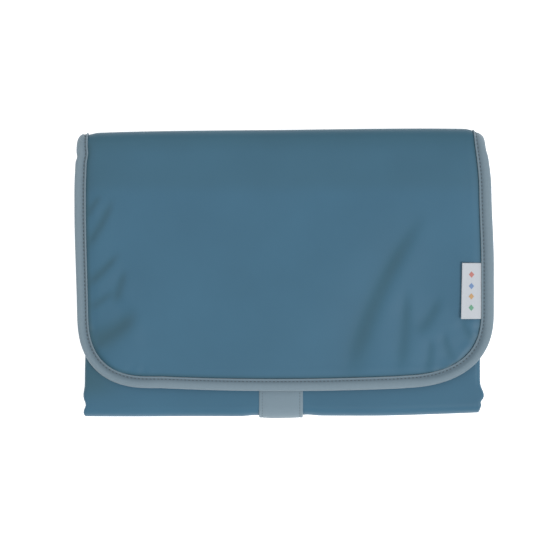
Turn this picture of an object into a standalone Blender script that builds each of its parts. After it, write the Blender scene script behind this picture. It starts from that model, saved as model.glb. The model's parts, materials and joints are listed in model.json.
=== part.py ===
"""Fold-up changing pad, closed: three padded panels in a zigzag, with a bound flap on top.

The pad lies on its back panel.  +X runs to the right along the folds, +Y from the bottom fold
to the top fold, +Z up through the layers.  The bottom fold joins the back and front panels, and
the top fold joins the front panel and the flap.  Lengths below are millimetres.
"""
import math

import bmesh
import bpy
from mathutils import Vector

MM = 0.001

# Driving dimensions.
FLAP_HALF_WIDTH = 157.5
FLAP_EDGE_Y = -89.0
FLAP_CORNER = 48.0
PANEL_LEFT = -150.0
PANEL_RIGHT = 148.0
PANEL_CORNER = 14.0
BOTTOM_FOLD_Y = -99.35
TOP_FOLD_Y = 100.3
PANEL_THICKNESS = 7.6
LAYER_GAP = 0.6
FABRIC = 0.8
GAP = 0.3
SOFT_EDGE = 2.4

# Levels of the three layers.
BACK_FACE_Z = 0.0
FRONT_FACE_Z = 2 * PANEL_THICKNESS + LAYER_GAP
BOTTOM_AXIS_Z = FRONT_FACE_Z / 2
FRONT_UNDER_Z = FRONT_FACE_Z - PANEL_THICKNESS
TOP_AXIS_Z = FRONT_FACE_Z + LAYER_GAP

# Flap, from its lining up to its cover.
FLAP_LINING_Z = 18.05
FLAP_FOAM_THICKNESS = 2.8
FLAP_FOAM_Z = FLAP_LINING_Z + FABRIC + GAP
FLAP_COVER_Z = FLAP_FOAM_Z + FLAP_FOAM_THICKNESS + GAP
FLAP_TOP_Z = FLAP_COVER_Z + FABRIC

# Binding tape, folded over the edge of the flap.
BINDING_WIDTH = 9.5
BINDING_TOP_Z = FLAP_TOP_Z + GAP + FABRIC
BINDING_LOW_Z = FLAP_LINING_Z - GAP - FABRIC
FLAP_CORE_INSET = 4.0

# Closing strap and its fastening patches.
STRAP_LEFT = -19.1
STRAP_RIGHT = 14.0
STRAP_THICKNESS = 1.0
STRAP_BELOW_FACE = 0.05
STRAP_PROUD = 1.0
STRAP_BACK_END_Y = -44.0
STRAP_FRONT_END_Y = -24.0
STRAP_CLEARANCE = 0.4
PATCH_INSET = 2.5
PATCH_LENGTH = 38.0
PATCH_THICKNESS = 0.7

# Side label, sewn in at the right binding.
LABEL_WIDTH = 14.5
LABEL_LOW_Y = -35.5
LABEL_HIGH_Y = 7.3
LABEL_THICKNESS = 0.6

PETROL = (0.074, 0.171, 0.254)
DEEP_PETROL = (0.060, 0.145, 0.216)
BLUE_GREY = (0.223, 0.296, 0.352)
FOAM_WHITE = (0.80, 0.79, 0.74)
OFF_WHITE = (0.70, 0.71, 0.74)
DARK_GREY = (0.10, 0.11, 0.13)

for leftover in list(bpy.data.objects):
    bpy.data.objects.remove(leftover, do_unlink=True)

parts = bpy.data.collections.new("changing_pad")
cutters = bpy.data.collections.new("cutters")
bpy.context.scene.collection.children.link(parts)
bpy.context.scene.collection.children.link(cutters)


def pivot(name, y, z):
    """An empty on a fold's axis, which the pieces beyond that fold are parented to."""
    empty = bpy.data.objects.new(name, None)
    empty.location = (0.0, y * MM, z * MM)
    empty.empty_display_size = 0.02
    parts.objects.link(empty)
    return empty


front_pivot = pivot("front_pivot", BOTTOM_FOLD_Y, BOTTOM_AXIS_Z)
flap_pivot = pivot("flap_pivot", TOP_FOLD_Y, TOP_AXIS_Z)
bpy.context.view_layer.update()


def hang_from(piece, parent):
    """Parent a piece to an empty without moving it."""
    piece.parent = parent
    piece.matrix_parent_inverse = parent.matrix_world.inverted()


hang_from(flap_pivot, front_pivot)


def paint(piece, colour, roughness):
    """Give a piece a material of its own."""
    material = bpy.data.materials.new(piece.name)
    material.use_nodes = True
    shader = material.node_tree.nodes["Principled BSDF"]
    shader.inputs["Base Color"].default_value = (*colour, 1.0)
    shader.inputs["Roughness"].default_value = roughness
    piece.data.materials.clear()
    piece.data.materials.append(material)


def outline(left, right, low, high, low_radius=0.0, high_radius=0.0, steps=8):
    """A rectangle's points, anticlockwise, with round lower and upper corners."""
    corners = (
        (right, low, low_radius, -90),
        (right, high, high_radius, 0),
        (left, high, high_radius, 90),
        (left, low, low_radius, 180),
    )
    points = []
    for x, y, radius, start in corners:
        centre_x = x - math.copysign(radius, x)
        centre_y = y + radius if y == low else y - radius
        for step in range(steps + 1 if radius else 1):
            angle = math.radians(start + 90 * step / steps)
            reach = Vector((math.cos(angle), math.sin(angle))) * radius
            points.append((centre_x + reach.x, centre_y + reach.y))
    return points


def plate(name, points, low, high, collection=parts):
    """A flat solid with the given outline between two levels, as a mesh."""
    curve = bpy.data.curves.new(name + "_outline", 'CURVE')
    curve.dimensions = '2D'
    curve.fill_mode = 'BOTH'
    curve.extrude = abs(high - low) / 2 * MM
    spline = curve.splines.new('POLY')
    spline.points.add(len(points) - 1)
    for spot, (x, y) in zip(spline.points, points):
        spot.co = (x * MM, y * MM, 0.0, 1.0)
    spline.use_cyclic_u = True
    drawn = bpy.data.objects.new(name + "_outline", curve)
    drawn.location.z = (low + high) / 2 * MM
    parts.objects.link(drawn)
    graph = bpy.context.evaluated_depsgraph_get()
    mesh = bpy.data.meshes.new_from_object(drawn.evaluated_get(graph))
    mesh.name = name
    work = bmesh.new()
    work.from_mesh(mesh)
    bmesh.ops.remove_doubles(work, verts=work.verts, dist=1e-6)
    bmesh.ops.recalc_face_normals(work, faces=work.faces)
    work.to_mesh(mesh)
    work.free()
    piece = bpy.data.objects.new(name, mesh)
    piece.matrix_world = drawn.matrix_world
    collection.objects.link(piece)
    bpy.data.objects.remove(drawn, do_unlink=True)
    return piece


def cutter(name, points, low, high):
    """A plate that only cuts other pieces."""
    piece = plate(name, points, low, high, cutters)
    piece.hide_render = True
    piece.display_type = 'WIRE'
    return piece


def cut(piece, tool):
    """Take one solid away from another."""
    change = piece.modifiers.new("Cut " + tool.name, 'BOOLEAN')
    change.operation = 'DIFFERENCE'
    change.object = tool


def soften_face(piece, level, fold_ys, width):
    """Round the edges of a panel's outer face, except those that run into a fold."""
    mesh = piece.data
    weights = mesh.attributes.new("bevel_weight_edge", 'FLOAT', 'EDGE')
    for edge in mesh.edges:
        ends = [piece.matrix_world @ mesh.vertices[i].co / MM for i in edge.vertices]
        on_face = all(abs(end.z - level) < 0.01 for end in ends)
        at_fold = any(all(abs(end.y - fold_y) < 2 * GAP for end in ends) for fold_y in fold_ys)
        weights.data[edge.index].value = float(on_face and not at_fold)
    bevel = piece.modifiers.new("Soft edge", 'BEVEL')
    bevel.limit_method = 'WEIGHT'
    bevel.width = width * MM
    bevel.segments = 3


def sheet(name, columns, rows, place, thickness):
    """A bent fabric sheet: a grid laid where place(column, row) says, then given its thickness."""
    mesh = bpy.data.meshes.new(name)
    work = bmesh.new()
    bmesh.ops.create_grid(work, x_segments=columns, y_segments=rows, size=0.5)
    for vert in work.verts:
        column = round((vert.co.x + 0.5) * columns)
        row = round((vert.co.y + 0.5) * rows)
        vert.co = Vector(place(column, row)) * MM
    work.to_mesh(mesh)
    work.free()
    piece = bpy.data.objects.new(name, mesh)
    parts.objects.link(piece)
    solid = piece.modifiers.new("Thickness", 'SOLIDIFY')
    solid.thickness = thickness * MM
    solid.offset = 0.0
    solid.use_even_offset = True
    return piece


def turn(stations, rows, centre_y, centre_z, reach, radii):
    """Where a sheet goes that turns half a circle about a fold, from the lower layer up.

    reach is -1 at the bottom fold and 1 at the top fold, and radii gives each station's
    radius along Y and along Z.
    """
    def place(column, row):
        angle = math.pi * row / rows
        radius_y, radius_z = radii[column]
        y = centre_y + reach * radius_y * math.sin(angle)
        z = centre_z - radius_z * math.cos(angle)
        return stations[column], y, z
    return place


def strap_outline(end_y, margin=0.0, start_y=BOTTOM_FOLD_Y + GAP):
    """The strap's flat outline from the bottom fold to its end, grown by a margin."""
    return outline(STRAP_LEFT - margin, STRAP_RIGHT + margin, start_y, end_y + margin)


def panel(name, face_z, inward, high, high_radius, strap_end_y):
    """A padded panel: an outer shell turned up at its edges, the foam in it, and the lining.

    Depths are measured inward from the outer face.  The strap lies in a hollow of that face.
    """
    def level(depth):
        return face_z + inward * depth

    def grown(inset):
        return outline(PANEL_LEFT + inset, PANEL_RIGHT - inset, low + inset, high - inset,
                       0.0, max(high_radius - inset, 0.0))

    low = BOTTOM_FOLD_Y + GAP
    inset = FABRIC + GAP
    beyond = low - 5.0
    hollow_depth = STRAP_BELOW_FACE + STRAP_THICKNESS + GAP
    lining_depth = PANEL_THICKNESS - FABRIC

    shell = plate(name + "_shell", grown(0.0), level(0.0), level(PANEL_THICKNESS))
    soften_face(shell, level(0.0), (BOTTOM_FOLD_Y,) if high_radius else (BOTTOM_FOLD_Y, TOP_FOLD_Y),
                SOFT_EDGE)
    pocket = cutter(name + "_pocket", grown(FABRIC), level(FABRIC), level(PANEL_THICKNESS + 1.0))
    ridge = cutter(name + "_ridge",
                   strap_outline(strap_end_y, STRAP_CLEARANCE + FABRIC, beyond),
                   level(-1.0), level(hollow_depth + FABRIC))
    cut(pocket, ridge)
    hollow = cutter(name + "_hollow", strap_outline(strap_end_y, STRAP_CLEARANCE, beyond),
                    level(-1.0), level(hollow_depth))
    cut(shell, pocket)
    cut(shell, hollow)
    paint(shell, PETROL, 0.55)

    foam = plate(name + "_foam", grown(inset), level(inset), level(lining_depth - GAP))
    room = cutter(name + "_room",
                  strap_outline(strap_end_y, STRAP_CLEARANCE + inset, beyond),
                  level(-1.0), level(hollow_depth + inset))
    cut(foam, room)
    paint(foam, FOAM_WHITE, 0.9)

    lining = plate(name + "_lining", grown(inset), level(lining_depth), level(PANEL_THICKNESS))
    paint(lining, DEEP_PETROL, 0.6)

    strap = plate("strap_" + name, strap_outline(strap_end_y),
                  level(STRAP_BELOW_FACE), level(STRAP_BELOW_FACE + STRAP_THICKNESS))
    paint(strap, BLUE_GREY, 0.7)
    return [shell, foam, lining, strap]


def bottom_fold():
    """The shell, lining and strap where they turn round the bottom fold."""
    rows = 10
    full = BOTTOM_AXIS_Z - STRAP_BELOW_FACE - FABRIC / 2
    strap_radius = BOTTOM_AXIS_Z - STRAP_BELOW_FACE - STRAP_THICKNESS / 2
    pinched = strap_radius - STRAP_THICKNESS / 2 - GAP - FABRIC / 2
    stations = (PANEL_LEFT, STRAP_LEFT - 2.0, STRAP_LEFT - 0.8,
                STRAP_RIGHT + 0.8, STRAP_RIGHT + 2.0, PANEL_RIGHT)
    radii = [(full, full)] * 2 + [(pinched, pinched)] * 2 + [(full, full)] * 2
    place = turn(stations, rows, BOTTOM_FOLD_Y, BOTTOM_AXIS_Z, -1, radii)
    shell = sheet("bottom_fold_shell", len(stations) - 1, rows, place, FABRIC)
    paint(shell, PETROL, 0.55)

    crease = LAYER_GAP / 2 + FABRIC / 2
    ends = (PANEL_LEFT + FABRIC + GAP, PANEL_RIGHT - FABRIC - GAP)
    place = turn(ends, 6, BOTTOM_FOLD_Y, BOTTOM_AXIS_Z, -1, [(crease, crease)] * 2)
    lining = sheet("bottom_fold_lining", 1, 6, place, FABRIC)
    paint(lining, DEEP_PETROL, 0.6)

    edges = (STRAP_LEFT, STRAP_RIGHT)
    proud = [(strap_radius + STRAP_PROUD, strap_radius)] * 2
    place = turn(edges, rows, BOTTOM_FOLD_Y, BOTTOM_AXIS_Z, -1, proud)
    strap = sheet("strap_turn", 1, rows, place, STRAP_THICKNESS)
    paint(strap, BLUE_GREY, 0.7)
    return [shell, lining, strap]


def top_fold():
    """The cover, lining and both binding ends where they turn round the top fold."""
    rows = 10
    inner_half = FLAP_HALF_WIDTH - BINDING_WIDTH - GAP
    middle_z = (FRONT_UNDER_Z + FLAP_TOP_Z) / 2
    radius = (FLAP_TOP_Z - FRONT_UNDER_Z) / 2 - FABRIC / 2
    ends = (-inner_half, inner_half)
    place = turn(ends, rows, TOP_FOLD_Y, middle_z, 1, [(radius, radius)] * 2)
    cover = sheet("top_fold_cover", 1, rows, place, FABRIC)
    paint(cover, PETROL, 0.55)

    crease_z = (FRONT_FACE_Z + FLAP_LINING_Z) / 2
    crease = (FLAP_LINING_Z - FRONT_FACE_Z) / 2 + FABRIC / 2
    place = turn(ends, 6, TOP_FOLD_Y, crease_z, 1, [(crease, crease)] * 2)
    lining = sheet("top_fold_lining", 1, 6, place, FABRIC)
    paint(lining, DEEP_PETROL, 0.6)

    tape = 2 * FABRIC
    low_z = FRONT_UNDER_Z - 0.5
    middle_z = (low_z + BINDING_TOP_Z) / 2
    radius_z = (BINDING_TOP_Z - low_z) / 2 - tape / 2
    radius_y = 7.9 - tape / 2
    pieces = [cover, lining]
    for name, side in (("fold_binding_left", -1), ("fold_binding_right", 1)):
        edges = sorted((side * (inner_half + GAP), side * FLAP_HALF_WIDTH))
        place = turn(edges, rows, TOP_FOLD_Y, middle_z, 1, [(radius_y, radius_z)] * 2)
        end = sheet(name, 1, rows, place, tape)
        paint(end, BLUE_GREY, 0.7)
        pieces.append(end)
    return pieces


def binding_path(steps=10):
    """Points and inward directions along the flap's free edge, from the top left round."""
    edge = FLAP_HALF_WIDTH - FABRIC / 2
    low = FLAP_EDGE_Y + FABRIC / 2
    radius = FLAP_CORNER - FABRIC / 2
    path = [(-edge, TOP_FOLD_Y - GAP, 1.0, 0.0)]
    for side, first in ((-1, 180), (1, 270)):
        for step in range(steps + 1):
            angle = math.radians(first + 90 * step / steps)
            across = math.cos(angle)
            along = math.sin(angle)
            centre_x = side * (edge - radius)
            path.append((centre_x + radius * across, low + radius + radius * along,
                         -across, -along))
    path.append((edge, TOP_FOLD_Y - GAP, -1.0, 0.0))
    return path


def binding_profile(steps=6):
    """The tape's section: upper leaf, round edge and lower leaf, as distance in and level."""
    width = BINDING_WIDTH - FABRIC / 2
    top = BINDING_TOP_Z - FABRIC / 2
    low = BINDING_LOW_Z + FABRIC / 2
    radius = (top - low) / 2
    section = [(width, top)]
    for step in range(steps + 1):
        angle = math.radians(90 + 180 * step / steps)
        section.append((radius + radius * math.cos(angle), low + radius + radius * math.sin(angle)))
    section.append((width, low))
    return section


def flap():
    """The bound flap: cover, foam, lining, edge binding, hook patch and side label."""
    half = FLAP_HALF_WIDTH - FLAP_CORE_INSET
    core = outline(-half, half, FLAP_EDGE_Y + FLAP_CORE_INSET, TOP_FOLD_Y - GAP,
                   FLAP_CORNER - FLAP_CORE_INSET, 0.0, 10)
    cover = plate("flap_cover", core, FLAP_COVER_Z, FLAP_TOP_Z)
    paint(cover, PETROL, 0.55)
    foam = plate("flap_foam", core, FLAP_FOAM_Z, FLAP_FOAM_Z + FLAP_FOAM_THICKNESS)
    paint(foam, FOAM_WHITE, 0.9)
    lining = plate("flap_lining", core, FLAP_LINING_Z, FLAP_LINING_Z + FABRIC)
    paint(lining, DEEP_PETROL, 0.6)

    path = binding_path()
    section = binding_profile()

    def along_edge(column, row):
        x, y, inward_x, inward_y = path[column]
        depth, z = section[row]
        return x + inward_x * depth, y + inward_y * depth, z

    binding = sheet("flap_binding", len(path) - 1, len(section) - 1, along_edge, FABRIC)
    paint(binding, BLUE_GREY, 0.7)

    hook_z = FLAP_LINING_Z - GAP - PATCH_THICKNESS
    hook = plate("hook_patch", patch_outline(), hook_z, hook_z + PATCH_THICKNESS)
    paint(hook, DARK_GREY, 0.8)

    label_right = FLAP_HALF_WIDTH - BINDING_WIDTH - GAP
    label_points = outline(label_right - LABEL_WIDTH, label_right, LABEL_LOW_Y, LABEL_HIGH_Y)
    label_z = FLAP_TOP_Z + GAP
    label = plate("side_label", label_points, label_z, label_z + LABEL_THICKNESS)
    paint(label, OFF_WHITE, 0.75)
    return [cover, foam, lining, binding, hook, label]


def patch_outline():
    """The outline that the hook patch and the loop patch share, over the strap's end."""
    high = STRAP_FRONT_END_Y - PATCH_INSET
    return outline(STRAP_LEFT + PATCH_INSET, STRAP_RIGHT - PATCH_INSET,
                   high - PATCH_LENGTH, high, 2.0, 2.0, 3)


def loop_patch():
    """The loop patch sewn on the strap's front end."""
    low_z = FRONT_FACE_Z - STRAP_BELOW_FACE + GAP
    patch = plate("loop_patch", patch_outline(), low_z, low_z + PATCH_THICKNESS)
    paint(patch, DARK_GREY, 0.9)
    return patch


panel("back", BACK_FACE_Z, 1, TOP_FOLD_Y - 0.5, PANEL_CORNER, STRAP_BACK_END_Y)
bottom_fold()
front_pieces = panel("front", FRONT_FACE_Z, -1, TOP_FOLD_Y - GAP, 0.0, STRAP_FRONT_END_Y)
front_pieces.append(loop_patch())
front_pieces += top_fold()
for front_piece in front_pieces:
    hang_from(front_piece, front_pivot)
for flap_piece in flap():
    hang_from(flap_piece, flap_pivot)
for shown in parts.objects:
    if shown.type == 'MESH':
        shown.data.shade_smooth()
        shown.data.set_sharp_from_angle(angle=math.radians(35))
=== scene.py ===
"""The looks of a fold-up changing pad, closed: coated fabric, bias tape, strap, label and thread.

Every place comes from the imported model's boxes and joint axes.  x runs along the folds, y from
the bottom fold to the top fold, z up through the layers.  Lengths are metres; MM helps to read.
"""
import json
import math

import bpy
import numpy as np
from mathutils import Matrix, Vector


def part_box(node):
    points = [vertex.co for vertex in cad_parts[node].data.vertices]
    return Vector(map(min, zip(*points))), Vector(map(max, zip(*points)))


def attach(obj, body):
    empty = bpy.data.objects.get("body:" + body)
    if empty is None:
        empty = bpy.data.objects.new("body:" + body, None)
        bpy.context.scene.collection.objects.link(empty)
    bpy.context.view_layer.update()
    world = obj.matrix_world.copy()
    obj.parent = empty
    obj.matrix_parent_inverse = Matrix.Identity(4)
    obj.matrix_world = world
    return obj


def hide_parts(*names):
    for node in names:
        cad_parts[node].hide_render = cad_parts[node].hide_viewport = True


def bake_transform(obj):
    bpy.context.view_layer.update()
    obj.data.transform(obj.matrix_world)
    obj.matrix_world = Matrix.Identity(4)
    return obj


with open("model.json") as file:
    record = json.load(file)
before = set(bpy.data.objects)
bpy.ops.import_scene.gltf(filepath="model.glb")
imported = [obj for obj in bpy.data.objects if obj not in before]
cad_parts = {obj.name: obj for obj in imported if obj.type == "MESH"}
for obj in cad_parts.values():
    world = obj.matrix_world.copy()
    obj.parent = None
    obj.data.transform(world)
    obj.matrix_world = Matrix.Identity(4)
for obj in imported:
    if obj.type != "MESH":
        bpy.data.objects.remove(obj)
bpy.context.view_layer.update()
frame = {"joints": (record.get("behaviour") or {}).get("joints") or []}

MM = 0.001

# -------------------- places from the frame

joints = {joint["name"]: joint for joint in frame["joints"]}
BOTTOM_Y, BOTTOM_Z = joints["bottom_fold"]["pos_m"][1:]
TOP_Y = joints["flap_fold"]["pos_m"][1]

back_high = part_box("back_shell")[1]
front_low, front_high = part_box("front_shell")
cover_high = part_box("flap_cover")[1]
lining_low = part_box("flap_lining")[0]
binding_low, binding_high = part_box("flap_binding")
strap_low, strap_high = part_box("strap_front")
strap_back_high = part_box("strap_back")[1]
label_low, label_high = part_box("side_label")
hook_low, hook_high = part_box("hook_patch")
loop_low, loop_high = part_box("loop_patch")

PANEL_LEFT, PANEL_RIGHT = front_low.x, front_high.x
BACK_END_Y = back_high.y
PANEL_HALF = (front_high.z - front_low.z) / 2
FRONT_TOP_Z = front_high.z
FRONT_UNDER_Z = front_low.z
FLAP_HALF = binding_high.x
FLAP_LOW_Y = binding_low.y
FLAP_TOP_Z = cover_high.z
FLAP_UNDER_Z = lining_low.z
FLAP_MID_Z = (FLAP_TOP_Z + FLAP_UNDER_Z) / 2
COVER_FOLD_R = (FLAP_TOP_Z - FRONT_UNDER_Z) / 2
COVER_FOLD_Z = (FLAP_TOP_Z + FRONT_UNDER_Z) / 2
MID_FOLD_R = FLAP_MID_Z - COVER_FOLD_Z
LINING_FOLD_R = (FLAP_UNDER_Z - FRONT_TOP_Z) / 2
LINING_FOLD_Z = (FLAP_UNDER_Z + FRONT_TOP_Z) / 2

STRAP_X = (strap_low.x + strap_high.x) / 2
STRAP_HALF = (strap_high.x - strap_low.x) / 2

CLOTH = 0.7 * MM
SEAM_IN = 7.3 * MM            # stitch line on the tape, in from the flap's outer edge
TUCK_IN = 5.5 * MM            # how far under the tape the cover's edge lies, from the outer edge
LAP = 7.0 * MM                # how far the flap's fabric laps onto the front panel


# -------------------- small numeric helpers

def ease(value, start, end):
    """0 before start, 1 after end, smooth between."""
    share = np.clip((value - start) / (end - start), 0.0, 1.0)
    return share * share * (3 - 2 * share)


def bump(value, centre, width):
    """A bell of height 1."""
    return np.exp(-((value - centre) / width) ** 2)


def spaced(start, end, step):
    """Evenly spaced numbers from start to end, about step apart."""
    return np.linspace(start, end, max(2, round(abs(end - start) / step) + 1))


def run_length(points):
    """The distance along a line of points, from its first point to each of them."""
    return np.concatenate([[0.0], np.cumsum(np.linalg.norm(np.diff(points, axis=0), axis=1))])


# -------------------- how the flap settles

def flap_rise(x, y):
    """Movement along y: the top edge tilts and drops at its ends, and the low edge sags."""
    tilt = np.where(x > 0, 1.45 * MM, 0.85 * MM)
    slope = 0.1 * MM + tilt * x / (110 * MM) - 1.4 * MM * (x / (150 * MM)) ** 4
    past_tape = np.clip(np.abs(x) - 147 * MM, 0.0, None) / (10.5 * MM)
    drop_left = 1.0 * MM * past_tape + 4.0 * MM * past_tape ** 4
    drop = np.where(x > 0, 6.0 * MM * past_tape, drop_left) * ease(y, 84 * MM, 101 * MM)
    sag = np.minimum(1.9 * MM * (x / (86 * MM)) ** 2, 2.2 * MM)
    return slope * ease(y, 55 * MM, 104 * MM) - drop + sag * ease(y, 0.0, FLAP_LOW_Y)


def flap_lean(x, y):
    """Movement along x: both sides lean in near the top, and the left one near the bottom too."""
    right = 1.9 * MM * ease(y, 5 * MM, 66 * MM) + 5.0 * MM * ease(y, 62 * MM, 112 * MM)
    left = 2.1 * MM * ease(y, 50 * MM, -45 * MM) + 0.8 * MM * ease(y, 62 * MM, 88 * MM)
    left = left + 0.7 * MM * ease(y, 83 * MM, 89 * MM)
    left = left + 0.6 * MM * bump(y, 92 * MM, 3.5 * MM) - 0.3 * MM
    return np.where(x > 0, -right, left) * np.clip(np.abs(x) / FLAP_HALF, 0.0, 1.0) ** 3


def flap_lift(x, y, z):
    """Movement along z: free corners droop, the top fold slumps, and faint waves cross the flap."""
    corner = ease(np.abs(x), 90 * MM, FLAP_HALF) * ease(y, -20 * MM, FLAP_LOW_Y)
    droop = -0.9 * MM * ease(y, 20 * MM, FLAP_LOW_Y) - 1.6 * MM * corner
    wave = 0.35 * MM * np.sin(x / (41 * MM) + 0.8) * np.cos(y / (37 * MM) - 0.4)
    wave = wave + 0.22 * MM * np.sin(x / (23 * MM) - y / (29 * MM))
    layer = np.clip((z - FRONT_UNDER_Z) / (FLAP_TOP_Z - FRONT_UNDER_Z), 0.0, 1.0)
    slump = -2.6 * MM * (np.clip(y - 86 * MM, 0.0, 22 * MM) / (22 * MM)) ** 2 * layer
    return droop + slump + wave * (1 - ease(y, 60 * MM, 92 * MM))


def settle_flap(x, y, z):
    """Where a point of the flap or its top fold comes to rest, from its ideal place."""
    return x + flap_lean(x, y), y + flap_rise(x, y), z + flap_lift(x, y, z)


def settle_body(x, y, z):
    """Where a point of the body comes to rest.

    The bottom edge rises towards the right and beside the strap, and its two ends swell where
    the cloth bunches at the fold.
    """
    low_share = ease(y, -60 * MM, BOTTOM_Y - 4 * MM)
    share = np.clip((x - PANEL_LEFT) / (PANEL_RIGHT - PANEL_LEFT), 0.0, 1.0)
    rise = (-1.7 + 0.9 * share ** 2 + 2.2 * share ** 8) * MM
    ripple = 0.14 * MM * np.sin(x / (15 * MM)) * (0.4 + share)
    side = np.clip((np.abs(x) - 125 * MM) / (22 * MM), 0.0, 1.0) ** 2
    swell = 1.1 * MM * bump(y, -91 * MM, 4.5 * MM) - 0.9 * MM * bump(y, -98 * MM, 2.5 * MM)
    swell_right = 2.6 * MM * bump(y, -96 * MM, 6 * MM) - 0.8 * MM * bump(y, -99 * MM, 1.5 * MM)
    swell = swell + np.where(x > 0, swell_right, 1.3 * MM * bump(y, -105 * MM, 4 * MM))
    beside_strap = bump(np.abs(x - STRAP_X), STRAP_HALF + 3 * MM, 7 * MM)
    shift = np.where(x < 0, -0.9 * MM, 0.0) * ease(y, -40 * MM, -80 * MM)
    new_x = x + (np.sign(x) * swell + shift) * side
    new_y = y + (rise + ripple + 0.9 * MM * beside_strap) * low_share
    return new_x, new_y, z


# -------------------- mesh helpers

def mesh_piece(name, points, faces, smooth=True):
    """A mesh object from points and faces, linked to the scene."""
    mesh = bpy.data.meshes.new(name)
    mesh.from_pydata([tuple(point) for point in points], [], [tuple(face) for face in faces])
    mesh.update()
    if smooth:
        mesh.shade_smooth()
    piece = bpy.data.objects.new(name, mesh)
    bpy.context.scene.collection.objects.link(piece)
    return piece


def grid_faces(rows, columns, wrap=False, flip=False):
    """Quads of a grid of points stored row by row; wrap joins the last column to the first."""
    row, column = np.meshgrid(np.arange(rows - 1), np.arange(columns if wrap else columns - 1),
                              indexing="ij")
    beyond = (column + 1) % columns
    quads = np.stack([row * columns + column, row * columns + beyond,
                      (row + 1) * columns + beyond, (row + 1) * columns + column], axis=-1)
    quads = quads.reshape(-1, 4)
    return quads[:, ::-1] if flip else quads


def add_uv(piece, along, across):
    """A UV map in metres from one value of along and of across for each point."""
    layer = piece.data.uv_layers.new(name="cloth")
    corners = np.zeros(len(piece.data.loops), np.int64)
    piece.data.loops.foreach_get("vertex_index", corners)
    values = np.stack([np.ravel(along)[corners], np.ravel(across)[corners]], axis=-1)
    layer.data.foreach_set("uv", values.astype(np.float32).ravel())


def mark_painted_shade(piece, values):
    """Store how much painted shade darkens the cloth at each point, from 0 to 1, for its material.
    """
    attribute = piece.data.attributes.new("wear", "FLOAT", "POINT")
    attribute.data.foreach_set("value", np.ravel(values).astype(np.float32))


DRAPE_FRAMES = 14
DRAPE_PRESSURE = 0.3
DRAPE_CAP = 0.7 * MM          # the farthest that the cover moves


def let_drape(piece, free):
    """Cloth simulation: the fabric swells over its padding between its sewn edges.

    free is 0 where a point is sewn down and 1 where it may move as far as the cap.
    """
    scene = bpy.context.scene
    mesh = piece.data
    start = np.zeros(len(mesh.vertices) * 3)
    mesh.vertices.foreach_get("co", start)
    sewn = piece.vertex_groups.new(name="sewn")
    for index in np.flatnonzero(np.ravel(free) < 0.02).tolist():
        sewn.add([index], 1.0, 'REPLACE')
    cloth = piece.modifiers.new("Cloth", 'CLOTH')
    settings = cloth.settings
    settings.quality = 6
    settings.mass = 0.25
    settings.tension_stiffness = 12.0
    settings.compression_stiffness = 12.0
    settings.shear_stiffness = 4.0
    settings.bending_stiffness = 0.6
    settings.vertex_group_mass = "sewn"
    settings.use_pressure = True
    settings.uniform_pressure_force = DRAPE_PRESSURE
    settings.effector_weights.gravity = 0.0
    cloth.collision_settings.use_collision = False
    cloth.point_cache.frame_start = 1
    cloth.point_cache.frame_end = DRAPE_FRAMES
    for frame_number in range(1, DRAPE_FRAMES + 1):
        scene.frame_set(frame_number)
    draped = piece.evaluated_get(bpy.context.evaluated_depsgraph_get()).to_mesh()
    end = np.zeros(len(mesh.vertices) * 3)
    draped.vertices.foreach_get("co", end)
    move = (end - start).reshape(-1, 3)
    size = np.maximum(np.linalg.norm(move, axis=1, keepdims=True), 1e-9)
    move = move / size * DRAPE_CAP * np.tanh(size / DRAPE_CAP) * np.ravel(free)[:, None]
    piece.modifiers.remove(cloth)
    piece.vertex_groups.remove(sewn)
    scene.frame_set(1)
    mesh.vertices.foreach_set("co", (start + move.ravel()).astype(np.float32))
    mesh.update()
    return piece


def thicken(piece, thickness):
    """Cloth thickness, on the inner side of the surface."""
    solid = piece.modifiers.new("Cloth thickness", 'SOLIDIFY')
    solid.thickness = thickness
    solid.offset = -1.0
    return piece


def surface(name, x, y, z, flip=False):
    """A cloth surface from three grids of coordinates, with a UV map in metres."""
    rows, columns = x.shape
    points = np.stack([x, y, z], axis=-1).reshape(-1, 3)
    piece = mesh_piece(name, points, grid_faces(rows, columns, flip=flip))
    steps_down = np.sqrt(np.diff(x, axis=0) ** 2 + np.diff(y, axis=0) ** 2
                         + np.diff(z, axis=0) ** 2).mean(axis=1)
    down = np.concatenate([[0.0], np.cumsum(steps_down)])
    add_uv(piece, x, np.repeat(down[:, None], columns, axis=1))
    return piece


# -------------------- materials

PETROL = (0.0372, 0.1140, 0.1800)
TAPE_GREY = (0.160, 0.220, 0.262)
RIBBON_WHITE = (0.43, 0.46, 0.495)
HOOK_GREY = (0.05, 0.075, 0.095)
LOOP_GREY = (0.06, 0.09, 0.11)
COATING_PAINTED_SHADE = (0.81, 0.79, 0.70)     # the share of red, green and blue left where the painted shade is 1
# the same share for the tape's painted shade
TAPE_PAINTED_SHADE = (0.66, 0.71, 0.74)


def node_material(name):
    """A new material, with its node tree's nodes, links and Principled shader."""
    material = bpy.data.materials.new(name)
    material.use_nodes = True
    tree = material.node_tree
    shader = tree.nodes["Principled BSDF"]
    return material, tree, shader


def set_inputs(node, **values):
    """Set input sockets by name, with _ for a space."""
    for key, value in values.items():
        node.inputs[key.replace("_", " ")].default_value = value


def add_node(tree, kind, **values):
    """A node with the given properties, or input sockets where the name is a socket's."""
    node = tree.nodes.new(kind)
    for key, value in values.items():
        if hasattr(node, key):
            setattr(node, key, value)
        else:
            set_inputs(node, **{key: value})
    return node


def colour_mix(tree, factor, dark, light):
    """A colour that goes from dark to light as the linked factor goes from 0 to 1."""
    ramp = tree.nodes.new("ShaderNodeValToRGB")
    ramp.color_ramp.elements[0].color = (*dark, 1.0)
    ramp.color_ramp.elements[1].color = (*light, 1.0)
    tree.links.new(factor, ramp.inputs["Fac"])
    return ramp


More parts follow.
